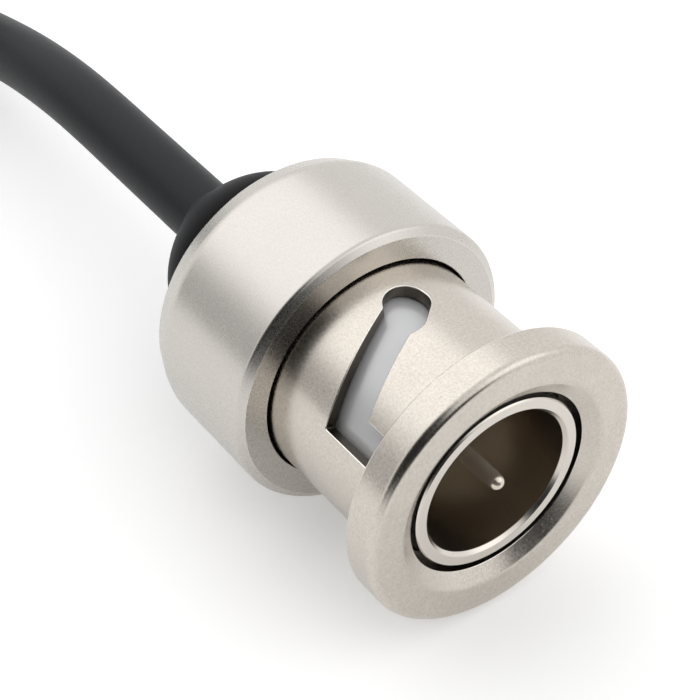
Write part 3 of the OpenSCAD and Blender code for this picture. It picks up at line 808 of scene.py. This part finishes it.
    def build(self) -> Thing:
        """Builds the nut, with painted shade in its bore, and puts it on its body."""
        edge, small = 0.05 * MM, 0.03 * MM
        front = Outline.rounded([
            (self.net_front, self.tube_r, 0), (self.flange_t, self.tube_r, self.root_fillet),
            (self.flange_t, self.flange_r, 0.12 * MM), (0, self.flange_r, self.flange_roll),
            (0, self.mouth_r, self.mouth_roll), (self.mouth_depth, self.bore_r, 2 * small),
            (self.lip_l, self.bore_r, edge), (self.lip_l, self.relief_r, edge),
            (self.net_front, self.relief_r, 0)], closed=False)
        depth, radius = front.points.T
        # the bore behind the mouth, the lip's back and the relief get painted shade, as they lie in
        # shade
        bore = (radius < self.relief_r + 0.1 * MM) & (depth > self.mouth_depth + 0.01 * MM)
        front = replace(front, tone=np.where(bore, -1.0, front.tone))
        groove_front, groove_rear = self.groove
        rear = Outline.rounded([
            (self.net_rear, self.tube_r, 0), (self.end, self.tube_r, 2 * edge),
            (self.end, self.relief_r, edge), (groove_rear, self.relief_r, small),
            (groove_rear, self.groove_r, 0.02 * MM), (groove_front, self.groove_r, 0.02 * MM),
            (groove_front, self.relief_r, small), (self.net_rear, self.relief_r, 0)], closed=False)
        parts = [self.place.turned(front, self.columns(0, 3)),
                 self.place.turned(rear, self.columns(4, 7)),
                 *self.slot_parts(0.0), *self.slot_parts(180.0)]
        nut = Surface.joined(parts).piece(
            self.place.prefix + "bayonet_nut", FINISHES["nut_nickel"].material())
        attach(nut, self.place.prefix + "turning_nut")
        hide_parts(self.place.prefix + "coupling_nut")
        return nut


@dataclass(frozen=True)
class TurnedPiece:
    """A piece of the fixed body that is turned from one closed profile.

    Attributes:
        place: where its plug lies.
        name: the piece's name, without the plug's prefix.
        node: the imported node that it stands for.
        slot: the record's slot of its finish.
        corners: its profile.
        tone: gives the tone at a depth and a radius, in place of rubbed edges.
    """

    place: Place
    name: str
    node: str
    slot: str
    corners: list[Corner]
    tone: Callable[[Array, Array], Array] | None = None

    def build(self) -> Thing:
        """Turns the profile and puts the piece on the fixed body."""
        outline = Outline.rounded(self.corners)
        if self.tone:
            outline = replace(outline, tone=self.tone(*outline.points.T))
        made = self.place.turned(outline, even_turn()).piece(
            self.place.prefix + self.name, FINISHES[self.slot].material())
        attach(made, FIXED_BODY)
        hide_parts(self.place.prefix + self.node)
        return made


@dataclass(frozen=True)
class WaveSprings:
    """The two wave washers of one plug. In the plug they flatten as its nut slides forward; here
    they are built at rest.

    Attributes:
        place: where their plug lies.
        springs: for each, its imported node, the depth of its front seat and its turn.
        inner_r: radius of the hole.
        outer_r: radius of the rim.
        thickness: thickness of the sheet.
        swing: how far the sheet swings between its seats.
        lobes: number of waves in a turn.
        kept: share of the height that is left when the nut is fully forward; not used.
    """

    place: Place
    springs: tuple[tuple[str, float, float], ...] = (
        ("front_wave_washer", 10.65 * MM, 0.0), ("rear_wave_washer", 11.2 * MM, math.pi))
    inner_r: float = 4.1 * MM
    outer_r: float = 5.2 * MM
    thickness: float = 0.2 * MM
    swing: float = 0.33 * MM
    lobes: int = 3
    kept: float = 0.4545

    def sheet(self, seat: float, phase: float) -> Surface:
        """One waved ring.

        Its depth is the seat's plus half of the swing times one plus the cosine of the lobes
        times the angle. A normal with a part along the depth leans back by the sheet's slope.

        Args:
            seat: depth of its front seat.
            phase: where its waves start.

        Returns:
            The ring's surface.
        """
        edge = 0.04 * MM
        outline = Outline.rounded([
            (0, self.inner_r, edge), (0, self.outer_r, edge), (self.thickness, self.outer_r, edge),
            (self.thickness, self.inner_r, edge)])
        depth, radius = outline.points[:, :1], outline.points[:, 1:]
        inward, out = outline.normals[:, :1], outline.normals[:, 1:]
        angles = even_turn()
        wave = seat + self.swing * (1 + np.cos(self.lobes * angles + phase)) / 2
        slope = -self.swing * self.lobes * np.sin(self.lobes * angles + phase) / (2 * radius)
        normals = unit(self.place.direction(inward, out, -inward * slope, angles))
        points = self.place.at(depth + wave, radius, angles)
        return Surface.grid(points, normals, outline.tone[:, None])

    def build(self) -> list[Thing]:
        """Builds both springs at rest, each on its front seat, and puts them on the fixed body."""
        made = []
        for node, seat, phase in self.springs:
            name = self.place.prefix + node.replace("washer", "spring")
            spring = self.sheet(seat, phase).piece(name, FINISHES["spring_steel"].material())
            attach(spring, FIXED_BODY)
            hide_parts(self.place.prefix + node)
            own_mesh(spring)
            made.append(spring)
        return made


@dataclass(frozen=True)
class Contacts:
    """The outer contact and the centre pin of one plug."""

    place: Place
    recess: float = 0.47 * MM
    nose_r: float = 4.6 * MM
    bore_r: float = 3.87 * MM
    bevel: float = 0.08 * MM
    mouth_bevel: float = 0.18 * MM
    barrel: tuple[float, float] = (2.2 * MM, 8.8 * MM)
    barrel_r: float = 5.2 * MM
    floor: float = 8.0 * MM
    spigot_r: float = 3.7 * MM
    spigot_end: float = 10.2 * MM
    passage_r: float = 2.91 * MM
    pin_r: float = 0.4 * MM
    pin_tip: float = 0.28 * MM
    pin_steps: tuple[tuple[float, float], ...] = (
        (6.6 * MM, 0.6 * MM), (13.0 * MM, 1.0 * MM), (13.8 * MM, 0.75 * MM))
    pin_end: float = 16.8 * MM
    wire_r: float = 0.31 * MM
    wire_depth: float = 14.4 * MM

    def outer(self) -> TurnedPiece:
        """The outer contact: bevelled nose, stepped barrel and spigot."""
        edge, bevel, mouth, small = self.recess, self.bevel, self.mouth_bevel, 0.03 * MM

        def tone(depth: Array, radius: Array) -> Array:
            """Tone of the contact: a painted highlight with wear, plain, or painted shade."""
            # the nose's face and bevels get a pale colour, partly wear and partly a painted
            # highlight; the barrel is plain; the rest, inside the nut and in the bore, gets painted
            # shade
            rubbed = (depth < edge + mouth) & (radius > self.bore_r + 0.5 * small)
            return np.where(rubbed, 1.0, np.where(radius > self.barrel_r - 2 * small, 0.0, -1.0))

        return TurnedPiece(self.place, "contact_barrel", "outer_contact", "contact_nickel", [
            (edge, self.bore_r + mouth, 2 * small), (edge, self.nose_r - bevel, small),
            (edge + bevel, self.nose_r, small), (self.barrel[0], self.nose_r, small),
            (self.barrel[0], self.barrel_r, small), (self.barrel[1], self.barrel_r, small),
            (self.barrel[1], self.spigot_r, small), (self.spigot_end, self.spigot_r, small),
            (self.spigot_end, self.passage_r, small), (self.floor, self.passage_r, small),
            (self.floor, self.bore_r, small), (edge + mouth, self.bore_r, 2 * small)], tone)

    def pin(self) -> TurnedPiece:
        """The centre pin: round tip, bare pin, shank, collar and crimp barrel with its bore."""
        small = 0.02 * MM
        radius = self.pin_r
        corners = [(self.pin_tip + radius * (1 - math.cos(a)), radius * math.sin(a), 0.0)
                   for a in np.radians(np.linspace(0, 84, 13))]
        for depth, wider in self.pin_steps:
            corners += [(depth, radius, small), (depth, wider, small)]
            radius = wider
        corners += [(self.pin_end, radius, small), (self.pin_end, self.wire_r, small),
                    (self.wire_depth, self.wire_r, small), (self.wire_depth, 0.0, 0.0)]
        return TurnedPiece(self.place, "contact_pin", "center_pin", "pin_plating", corners)


@dataclass(frozen=True)
class ShellAndBoot:
    """The satin shell and the rubber boot of one plug."""

    place: Place
    front: float = 9.87 * MM
    shell_r: float = 7.7 * MM
    bevel: tuple[float, float] = (0.28 * MM, 0.42 * MM)
    end: float = 17.45 * MM
    rear_bevel: tuple[float, float] = (1.2 * MM, 0.5 * MM)
    bore_r: float = 6.05 * MM
    web: tuple[float, float] = (13.3 * MM, 14.8 * MM)
    seat_r: float = 3.51 * MM
    chamber_r: float = 6.2 * MM
    lip: float = 16.92 * MM
    lip_r: float = 5.2 * MM
    boot_front: float = 16.3 * MM
    boot_flange: float = 16.9 * MM
    boot_flange_r: float = 6.1 * MM
    dome_r: float = 5.1 * MM
    dome_depth: float = 18.9 * MM
    collar_r: float = 1.87 * MM
    hollow_r: float = 3.6 * MM
    ferrule_r: float = 2.35 * MM
    ferrule_end: float = 21.55 * MM
    cable_r: float = 1.81 * MM
    dome_powers: tuple[float, float] = (2.3, 1.45)
    # the boot's painted shade by the shell fades out between these shares of the way to the cable
    painted_shade_to: float = 0.2
    plain_from: float = 0.65

    def shell(self) -> TurnedPiece:
        """The shell: bevelled front edge, long rear bevel, inner web and the boot's lip."""
        edge, small = 0.06 * MM, 0.03 * MM
        return TurnedPiece(self.place, "satin_shell", "outer_shell", "shell_nickel", [
            (self.front, self.bore_r, edge), (self.front, self.shell_r - self.bevel[1], edge),
            (self.front + self.bevel[0], self.shell_r, 5 * edge),
            (self.end - self.rear_bevel[0], self.shell_r, 1.6 * MM),
            (self.end, self.shell_r - self.rear_bevel[1], 4 * edge), (self.end, self.lip_r, edge),
            (self.lip, self.lip_r, small), (self.lip, self.chamber_r, small),
            (self.web[1], self.chamber_r, small), (self.web[1], self.seat_r, small),
            (self.web[0], self.seat_r, small), (self.web[0], self.bore_r, small)])

    def boot(self) -> TurnedPiece:
        """The boot: held flange, straight neck, dome that flares into a collar, and the passage.

        The dome's radius goes from its own to the collar's by the share (1 - x^a)^b, where x is
        the share of the way to the end, and a and b are the dome's powers.
        """
        end = abs(self.place.face_x - self.place.back_x)
        small, passage = 0.04 * MM, self.boot_front + 1 * MM
        x = np.linspace(0, 1, 61)
        depth = self.dome_depth + (end - self.dome_depth) * x
        share = (1 - x ** self.dome_powers[0]) ** self.dome_powers[1]
        radius = self.collar_r + (self.dome_r - self.collar_r) * share
        dome = [(d, r, 0.0) for d, r in zip(depth[:-1].tolist(), radius[:-1].tolist())]

        def tone(depth: Array, radius: Array) -> Array:
            """The boot gets near-black painted shade by the shell and is plain by the cable."""
            share = (depth - self.end) / (end - self.end)
            return smooth_step(self.painted_shade_to, self.plain_from, share) - 1

        return TurnedPiece(self.place, "rubber_boot", "cable_boot", "boot_rubber", [
            (self.boot_front, self.hollow_r, small), (self.boot_front, self.boot_flange_r, small),
            (self.boot_flange, self.boot_flange_r, small), (self.boot_flange, self.dome_r, small),
            *dome, (end, self.collar_r, small), (end, self.cable_r, small),
            (self.ferrule_end, self.cable_r, small), (self.ferrule_end, self.ferrule_r, small),
            (passage, self.ferrule_r, small), (passage, self.hollow_r, small)], tone)


@dataclass(frozen=True)
class PatchCable:
    """The free cable: from the near boot along the floor, three laps of a hank, to the far boot.

    Attributes:
        near: place of the near plug.
        far: place of the far plug.
        radius: half the cable's diameter.
        length: the cable's stated length; not used.
        lead: chosen points from the near boot to the hank, in millimetres.
        tail: chosen points from the hank to the far boot, in millimetres.
        hank_x: middle of the hank.
        fold_r: bend radius at its folds.
        waist: straight length where the tie holds it.
        laps: how often the cable goes round.
        lift: how far the tie lifts the lowest strand.
        sides: corners of the tube's section.
        spacing: distance from one section to the next.
    """

    near: Place
    far: Place
    radius: float = 1.8 * MM
    length: float = 0.61
    lead: tuple[tuple[float, float, float], ...] = (
        (-14, 0, 7.7), (-17, 0, 7.7), (-20, 0, 7.7), (-23, 0, 7.7), (-26, 0, 7.6), (-29, 0, 7.3),
        (-32, 0, 6.8), (-35, 0, 6.1), (-38, 0, 5.3), (-41, 0, 4.3), (-44, 0, 3.4), (-47, 0, 2.7),
        (-50, 0, 2.2), (-53, 0, 1.9), (-56, 0, 1.8), (-59, -0.1, 1.8))
    tail: tuple[tuple[float, float, float], ...] = (
        (-121, -1.3, 12.6), (-124, -1.1, 12.5), (-127, -0.8, 12.1), (-130, -0.5, 11.3),
        (-133, -0.3, 10.3), (-136, -0.1, 9.2), (-139, 0, 8.3), (-142, 0, 7.8), (-144, 0, 7.7))
    hank_x: float = -90 * MM
    fold_r: float = 10.8 * MM
    waist: float = 5 * MM
    laps: int = 3
    lift: float = 0.9 * MM
    sides: int = 28
    spacing: float = 0.9 * MM

    def lap_plan(self) -> Array:
        """Plan of one lap, from the near end of the waist's first side.

        The heading is the sum of the bends along the way. Each fold is two S curves of equal
        arcs and a half circle between them, all of one radius.

        Returns:
            Places in the plan, n by 2, evenly spaced.
        """
        swing = math.acos(1 - (self.fold_r - self.radius) / (2 * self.fold_r))
        fold = [(swing, 1), (swing, -1), (math.pi, -1), (swing, -1), (swing, 1)]
        step = 0.05 * MM
        counted = [(round(turn * self.fold_r / step), sign * turn) for turn, sign in fold]
        half = [np.zeros(round(self.waist / step)), *(np.full(n, turn / n) for n, turn in counted)]
        bend = np.concatenate(half * 2)
        heading = math.pi + np.cumsum(bend) - bend / 2
        moves = step * np.stack([np.cos(heading), np.sin(heading)], 1)
        start = np.array([self.hank_x + self.waist / 2, -self.radius])
        return start + np.concatenate([[[0, 0]], np.cumsum(moves, axis=0)])

    def hank(self) -> Array:
        """Centre line of all laps: each lies one diameter above the one before."""
        plan = self.lap_plan()
        rise = smooth_step(0.25, 0.65, np.linspace(0, 1, len(plan)))
        waist = 1 - smooth_step(self.waist / 2, 2.2 * self.waist, np.abs(plan[:, 0] - self.hank_x))
        height = self.radius + 2 * self.radius * rise + self.lift * waist
        laps = [np.column_stack([plan, height + 2 * self.radius * lap]) for lap in range(self.laps)]
        return np.concatenate([lap[:-1] for lap in laps])

    def centre_line(self) -> Array:
        """The whole centre line, evenly spaced, from the near boot to the far one."""
        near_exit, far_exit = (
            (plug.back_x / MM, 0, plug.axis_z / MM) for plug in (self.near, self.far))
        hank = self.hank()
        low, (_, side, rest) = self.radius / MM, hank[0] / MM
        top = low + 2 * low * self.laps
        under = [(-64, -0.4, low), (-69, -0.9, low), (-74, -1.4, low), (-79, -1.75, low + 0.1),
                 (-84, side, rest - 0.15)]
        over = [(-89, side, top + 0.9), (-91.5, side, top + 0.9), (-96, side, top + 0.65),
                (-101, side, top + 0.1), (-106, -1.75, top), (-111, -1.65, top), (-116, -1.5, top)]
        first, last = hank[0] / MM, (hank[0, 0] / MM, side, top + 0.9)
        before = smooth_curve(np.array([near_exit, *self.lead, *under, first]) * MM)
        after = smooth_curve(np.array([last, *over, *self.tail, far_exit]) * MM)
        whole = np.concatenate([before[:-1], hank, after])
        steps = way_along(whole)
        even = np.linspace(0, steps[-1], round(steps[-1] / self.spacing))
        return np.stack([np.interp(even, steps, whole[:, k]) for k in range(3)], 1)

    def build(self, with_pieces: list[Thing]) -> Thing:
        """Builds the cable as a tube along its centre line.

        Args:
            with_pieces: the pieces on its far end; not used.

        Returns:
            The cable.
        """
        line = self.centre_line()
        ahead = unit(np.gradient(line, axis=0))
        across = unit(np.cross([0.0, 0.0, 1.0], ahead))
        up = np.cross(ahead, across)
        turn = even_turn(self.sides)[:, None]
        out = across[:, None] * np.cos(turn) + up[:, None] * np.sin(turn)
        rows = np.pad(np.arange(len(line)), 1, mode="edge")
        size = np.pad(np.full(len(line), self.radius), 1)
        surface = Surface.grid(line[rows, None] + out[rows] * size[:, None, None], out[rows], 0.0)
        cable = surface.piece("patch_cable", FINISHES["cable_jacket"].material())
        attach(cable, FIXED_BODY)
        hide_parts("cable_lead", "cable_hank", "cable_tail")
        return cable


def smooth_curve(points: Array, steps: int = 24) -> Array:
    """A Catmull-Rom curve through points: the slope at each is half its neighbours' distance."""
    ends = np.concatenate([2 * points[:1] - points[1:2], points, 2 * points[-1:] - points[-2:-1]])
    before, here, there, after = (ends[k:len(ends) - 3 + k, None] for k in range(4))
    t = np.linspace(0, 1, steps, endpoint=False)[None, :, None]
    bend = (2 * before - 5 * here + 4 * there - after) * t ** 2
    twist = (3 * here - before - 3 * there + after) * t ** 3
    curve = 0.5 * (2 * here + (there - before) * t + bend + twist)
    return np.concatenate([curve.reshape(-1, 3), points[-1:]])


@dataclass(frozen=True)
class HankStrap:
    """The woven strap round the hank's waist."""

    thickness: float = 0.8 * MM
    corner: float = 1.3 * MM
    thread: float = 0.45 * MM

    def build(self) -> Thing:
        """Builds the strap: a rounded section carried round a rounded rectangle."""
        low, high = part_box("hank_tie")
        half = np.array([high.y - low.y, high.z - low.z]) / 2
        turn = even_turn(240)
        out = np.stack([np.cos(turn), np.sin(turn)], 1)
        inner = half - self.corner
        spread = np.clip(out * np.max(half) * 4, -inner, inner)
        rows, normals = [], []
        for across, depth, tilt in self.section():
            ring = spread + out * (self.corner - depth) + [0, (high.z + low.z) / 2]
            rows.append(np.insert(ring, 0, low.x + (high.x - low.x) * across, axis=1))
            normals.append(np.insert(out * tilt[1], 0, tilt[0], axis=1))
        surface = Surface.grid(np.array(rows), unit(np.array(normals)), 0.0)
        strap = surface.piece("hank_strap", FINISHES["tie_strap"].material())
        self.unroll(strap)
        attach(strap, FIXED_BODY)
        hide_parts("hank_tie")
        return strap

    def section(self) -> list[tuple[float, float, tuple[float, float]]]:
        """Section of the strap: share of its width, depth from its outside, and normal."""
        edge = 0.035
        right = [(1 - edge + edge * math.cos(a), self.thickness / 2 * (1 - math.sin(a)),
                  (math.cos(a), math.sin(a))) for a in np.radians(np.arange(90, -91, -30))]
        left = [(1 - share, self.thickness - depth, (-normal[0], -normal[1]))
                for share, depth, normal in right]
        return [*right, *left, right[0]]

    def unroll(self, strap: Thing) -> None:
        """Gives the strap a UV map that counts threads across it and round it."""
        mesh = strap.data
        places = np.zeros(len(mesh.vertices) * 3)
        mesh.vertices.foreach_get("co", places)
        places = places.reshape(-1, 3)
        low, high = places.min(axis=0), places.max(axis=0)
        around = np.where(np.abs(places[:, 1]) > (high[1] - low[1]) / 2 - 1.2 * self.thickness,
                          places[:, 2], places[:, 1])
        numbers = np.zeros(len(mesh.loops), int)
        mesh.loops.foreach_get("vertex_index", numbers)
        threads = np.stack([places[numbers, 0], around[numbers]], 1) / (2 * self.thread)
        mesh.uv_layers.new(name="threads").data.foreach_set("uv", threads.ravel())


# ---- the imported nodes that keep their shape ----


@dataclass(frozen=True)
class HiddenWorks:
    """The inner pieces of both plugs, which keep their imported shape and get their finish."""

    place: Place
    nodes: tuple[tuple[str, str], ...] = (
        ("retaining_ring", "spring_steel"), ("rear_washer", "spring_steel"),
        ("front_washer", "spring_steel"), ("plug_body", "body_nickel"),
        ("front_gasket", "gasket_rubber"), ("front_insulator", "insulator_white"),
        ("rear_insulator", "insulator_white"), ("crimp_ferrule", "body_nickel"),
        ("lock_nut", "body_nickel"), ("braid_end", "braid_copper"),
        ("dielectric_end", "cable_core"), ("conductor_end", "conductor_copper"),
        ("jacket_end", "cable_jacket"))

    def dress(self) -> list[Thing]:
        """Gives every inner node its finish, and returns the nodes."""
        dressed = [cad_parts[self.place.prefix + name] for name, _ in self.nodes]
        for node, (_, slot) in zip(dressed, self.nodes):
            material = FINISHES[slot].material()
            if not node.data.materials:
                node.data.materials.append(material)
            for material_slot in node.material_slots:
                material_slot.material = material
        return dressed


# ---- studio ----


@dataclass(frozen=True)
class Patch:
    """A round patch of the studio: its direction, and its inner and outer angular radius."""

    azimuth: float
    elevation: float
    inner: float
    outer: float

    def mask(self, sketch: Sketch, towards: Socket) -> Socket:
        """Mask that is 1 within the inner angle of its middle and 0 outside the outer one."""
        a, e = math.radians(self.azimuth), math.radians(self.elevation)
        middle = (math.cos(a) * math.cos(e), math.sin(a) * math.cos(e), math.sin(e))
        cosine = sketch.vector("DOT_PRODUCT", towards, middle)
        outer, inner = (math.cos(math.radians(angle)) for angle in (self.outer, self.inner))
        return sketch.step(cosine, outer, inner)


@dataclass(frozen=True)
class Studio:
    """A white room with dark openings on the camera's side, two softboxes and a floor."""

    place: Place
    white: float = 1.0
    dark: float = 0.02
    openings: tuple[Patch, ...] = (
        Patch(3, 0, 14, 24), Patch(-18, 4, 18, 28), Patch(-36, 18, 20, 32), Patch(-62, 32, 27, 42))
    horizon: Patch = Patch(-128, 5, 4, 24)
    horizon_loss: float = 0.45
    softbox: Patch = Patch(-172, 50, 22, 42)
    softbox_gain: float = 0.5
    second_box: Patch = Patch(41, 34, 12, 28)
    second_gain: float = 0.5
    floor_middle: float = -0.079
    floor_r: float = 0.22
    floor_fade: float = 0.14
    mirrored_r: float = 0.125
    mirrored_fade: float = 0.10
    floor_white: float = 0.9
    floor_glow: float = 0.32
    floor_mirrored: float = 0.7
    camera_azimuth: float = 53.98
    camera_elevation: float = 42.03
    camera_offset: tuple[float, float, float] = (-6.893 * MM, 6.219 * MM, 86.31 * MM)
    lens: float = 100.06

    def light(self) -> None:
        """Paints the room on the world, as seen in each direction."""
        world = bpy.data.worlds.new("studio")
        world.use_nodes = True
        bpy.context.scene.world = world
        sketch = Sketch(world.node_tree)
        towards = sketch.node("ShaderNodeTexCoord").outputs["Generated"]
        dark = self.openings[0].mask(sketch, towards)
        for opening in self.openings[1:]:
            dark = sketch.math("MAXIMUM", dark, opening.mask(sketch, towards))
        open_room = sketch.math("MULTIPLY_ADD", dark, self.dark - self.white, self.white)
        glow = 0.0
        for patch, gain in ((self.softbox, self.softbox_gain), (self.second_box, self.second_gain),
                            (self.horizon, -self.horizon_loss)):
            glow = sketch.math("MULTIPLY_ADD", patch.mask(sketch, towards), gain, glow)
        level = sketch.math("ADD", open_room, glow)
        seen = sketch.node("ShaderNodeLightPath").outputs["Is Camera Ray"]
        lit = sketch.math("MULTIPLY", level, sketch.math("SUBTRACT", 1.0, seen))
        back = sketch.node("ShaderNodeBackground", Color_=(1.0, 1.0, 1.0, 1.0),
                           Strength_=sketch.math("ADD", lit, seen))
        sketch.node("ShaderNodeOutputWorld", Surface_=back.outputs[0])

    def floor(self) -> Thing:
        """Lays the pale floor: a disc that keeps the shadows and fades out towards its border."""
        ring, turn = np.linspace(0, self.floor_r, 12)[:, None], even_turn(96)
        points = np.stack(
            [self.floor_middle + ring * np.cos(turn), ring * np.sin(turn), 0 * ring * turn], -1)
        up = np.broadcast_to([0.0, 0.0, 1.0], points.shape)
        laid = Surface.grid(points, up, 0.0).piece("floor", self.floor_material())
        return laid

    def floor_material(self) -> bpy.types.Material:
        """White paper that glows a little for the eye, and is clear past the fading distance.

        In a metal's reflection it glows less and fades out nearer, so that dark openings low in
        the room are mirrored by the nut's countersink.
        """
        made = bpy.data.materials.new("pale_floor")
        made.use_nodes = True
        sketch = Sketch(made.node_tree)
        path = sketch.node("ShaderNodeLightPath").outputs
        mirrored = path["Is Glossy Ray"]
        seen = sketch.math("MULTIPLY_ADD", mirrored, self.floor_mirrored, path["Is Camera Ray"])
        surface = sketch.node(
            "ShaderNodeBsdfPrincipled", Base_Color_=(*[self.floor_white] * 3, 1), Roughness_=0.9,
            Specular_IOR_Level_=0.1, Emission_Color_=(1, 1, 1, 1),
            Emission_Strength_=sketch.math("MULTIPLY", seen, self.floor_glow))
        places = sketch.node("ShaderNodeTexCoord").outputs["Object"]
        away = sketch.vector("LENGTH", sketch.vector("SUBTRACT", places, (self.floor_middle, 0, 0)))
        start, end = (
            sketch.math("MULTIPLY_ADD", mirrored, near - far, far) for far, near in (
                (self.floor_fade, self.mirrored_fade), (self.floor_r, self.mirrored_r)))
        mixed = sketch.node("ShaderNodeMixShader")
        clear = sketch.node("ShaderNodeBsdfTransparent")
        terms = (sketch.step(away, start, end), surface.outputs[0], clear.outputs[0])
        for number, term in enumerate(terms):
            sketch.feed(term, mixed.inputs[number])
        sketch.node("ShaderNodeOutputMaterial", Surface_=mixed.outputs[0])
        return made

    def camera(self) -> None:
        """Sets the camera by its view of the near plug's mating face."""
        turn, rise = math.radians(self.camera_azimuth), math.radians(self.camera_elevation)
        right = Vector((math.cos(turn), math.sin(turn), 0))
        back = Vector((right.y * math.cos(rise), -right.x * math.cos(rise), math.sin(rise)))
        frame_axes = (right, back.cross(right), back)
        place = Vector((self.place.face_x, 0, self.place.axis_z))
        for axis, away in zip(frame_axes, self.camera_offset):
            place += axis * away
        data = bpy.data.cameras.new("camera")
        data.lens, data.sensor_width = self.lens, 36.0
        data.clip_start, data.clip_end = 0.005, 20.0
        camera = bpy.data.objects.new("camera", data)
        turned = Matrix(frame_axes).transposed().to_4x4()
        camera.matrix_world = Matrix.Translation(place) @ turned
        bpy.context.scene.collection.objects.link(camera)
        bpy.context.scene.camera = camera


def build_plug(place: Place) -> list[Thing]:
    """Builds and dresses the plug at one place, and returns all of its pieces."""
    contacts, shell_and_boot = Contacts(place), ShellAndBoot(place)
    turned = (contacts.outer(), contacts.pin(), shell_and_boot.shell(), shell_and_boot.boot())
    return [CouplingNut(place).build(), *(piece.build() for piece in turned),
            *WaveSprings(place).build(), *HiddenWorks(place).dress()]


def main() -> None:
    """Builds the studio, the two plugs, the cable and its strap."""
    logging.basicConfig(level=logging.INFO, format="%(name)s: %(message)s")
    bpy.context.scene.view_settings.view_transform = "Standard"
    near, far = Place.of("", 1.0), Place.of("far_", -1.0)
    studio = Studio(near)
    studio.camera()
    studio.light()
    studio.floor()
    near_pieces, far_pieces = build_plug(near), build_plug(far)
    cable = PatchCable(near, far).build(far_pieces)
    for piece in (*near_pieces, *far_pieces, cable, HankStrap().build()):
        LOG.info("%s: %d faces", piece.name, len(piece.data.polygons))


if __name__ == "__main__":
    main()
